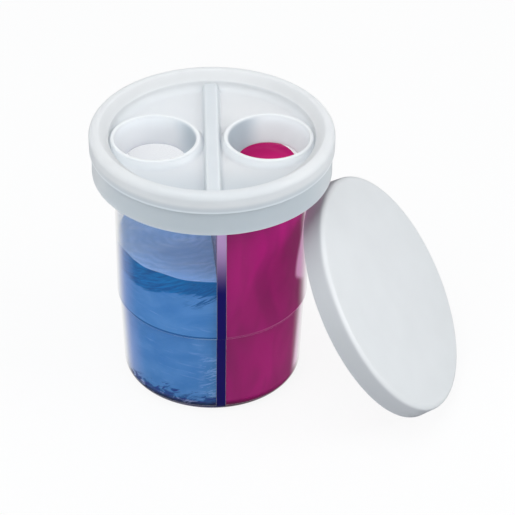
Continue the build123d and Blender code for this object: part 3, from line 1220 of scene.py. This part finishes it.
class PAINTCUP_OT_stage(bpy.types.Operator):
    """Set the pale table, the studio light and the camera"""

    bl_idname = "paintcup.stage"
    bl_label = "Table, Light and Camera"

    def lamp(self, name, place, target, size, power):
        """Square soft light aimed at a point."""
        bpy.ops.object.select_all(action="DESELECT")
        bpy.ops.object.light_add(type="AREA", location=place)
        lamp = bpy.context.object
        lamp.name = name
        lamp.data.size = size
        lamp.data.energy = power
        lamp.rotation_mode = "QUATERNION"
        lamp.rotation_quaternion = (Vector(target) - Vector(place)).to_track_quat("-Z", "Y")

    def room(self, scene):
        """White room: bright to the eye, a soft light on the pieces, a little dimmer mirrored."""
        world = bpy.data.worlds.new("white_studio")
        scene.world = world
        world.use_nodes = True
        tree = world.node_tree
        tree.nodes.clear()
        path = add_node(tree, "ShaderNodeLightPath")
        ambient = add_node(
            tree, "ShaderNodeBackground", {"Color": rgba(linear("#F2F4F6")), "Strength": 0.6}
        )
        white = add_node(tree, "ShaderNodeBackground", {"Color": rgba(grey(1.0)), "Strength": 1.0})
        mix = shared(tree, looked_at(tree, path), ambient, white)
        dim = add_node(tree, "ShaderNodeBackground", {"Color": rgba(grey(1.0)), "Strength": 0.9})
        mix = shared(tree, mirrored(tree, path), mix, dim)
        add_node(tree, "ShaderNodeOutputWorld", links={"Surface": mix.outputs[0]})

    def execute(self, context):
        scene = context.scene
        looks = scene.paint_cup.looks
        bpy.ops.object.select_all(action="DESELECT")
        bpy.ops.mesh.primitive_plane_add(size=6)
        table = context.object
        table.name = "table"
        table.data.materials.append(white_table(looks))
        self.room(scene)
        middle = (15 * MM, 0, 60 * MM)
        self.lamp("softbox_top", (-0.3, -0.3, 1.0), middle, 0.7, 4.2)
        self.lamp("softbox_left", (-0.8, -0.5, 0.55), middle, 0.5, 0.8)
        self.lamp("softbox_right", (0.9, -0.35, 0.6), middle, 0.5, 3.6)
        scene.view_settings.view_transform = "Standard"
        self.camera(scene)
        return {"FINISHED"}

    def camera(self, scene):
        """Camera at the viewing angle, 1.2 m from the cup's foot."""
        distance = 1.2
        elevation = math.radians(36.24)
        swing = math.radians(5.5)
        roll = math.radians(0.45)
        focal_pixels = 3215.0
        sensor = 36.0
        aim_right = 16.9 * MM
        aim_up = 38.5 * MM
        right = Vector((math.cos(swing), -math.sin(swing), 0))
        towards = Vector(
            (
                -math.sin(swing) * math.cos(elevation),
                -math.cos(swing) * math.cos(elevation),
                math.sin(elevation),
            )
        )
        up = towards.cross(right)
        place = towards * distance
        aim = right * aim_right + up * aim_up
        bpy.ops.object.select_all(action="DESELECT")
        bpy.ops.object.camera_add(location=place)
        camera = bpy.context.object
        camera.name = "camera"
        camera.rotation_mode = "QUATERNION"
        tilt = Matrix.Rotation(roll, 3, "Z").to_quaternion()
        camera.rotation_quaternion = (aim - place).to_track_quat("-Z", "Y") @ tilt
        camera.data.sensor_width = sensor
        camera.data.lens = focal_pixels * sensor / IMAGE_SIZE
        camera.data.clip_start = 0.01
        camera.data.clip_end = 20
        scene.camera = camera


class PAINTCUP_PT_panel(bpy.types.Panel):
    """Lists the pieces of the divided paint cup"""

    bl_idname = "PAINTCUP_PT_panel"
    bl_label = "Divided Paint Cup"
    bl_space_type = "VIEW_3D"
    bl_region_type = "UI"
    bl_category = "Paint Cup"

    def draw(self, context):
        for operator in OPERATORS:
            self.layout.operator(operator.bl_idname)
        settings = context.scene.paint_cup
        for group in (settings.cup, settings.lid, settings.cap, settings.looks):
            box = self.layout.box()
            for key in group.__annotations__:
                box.prop(group, key)


GROUPS = (CupSizes, LidSizes, CapSizes, CupLooks, CupSettings)
OPERATORS = (
    PAINTCUP_OT_stage,
    PAINTCUP_OT_tumbler,
    PAINTCUP_OT_paints,
    PAINTCUP_OT_lid,
    PAINTCUP_OT_cap,
)


def register():
    """Register the settings, the operators and the panel."""
    for each in GROUPS + OPERATORS + (PAINTCUP_PT_panel,):
        bpy.utils.register_class(each)
    bpy.types.Scene.paint_cup = PointerProperty(type=CupSettings)


def unregister():
    """Take the settings, the operators and the panel away again."""
    del bpy.types.Scene.paint_cup
    for each in reversed(GROUPS + OPERATORS + (PAINTCUP_PT_panel,)):
        bpy.utils.unregister_class(each)


def main():
    """Register the add-on and make every piece."""
    register()
    bpy.ops.paintcup.stage()
    bpy.ops.paintcup.tumbler()
    bpy.ops.paintcup.paints()
    bpy.ops.paintcup.lid()
    bpy.ops.paintcup.cap()


if __name__ == "__main__":
    main()
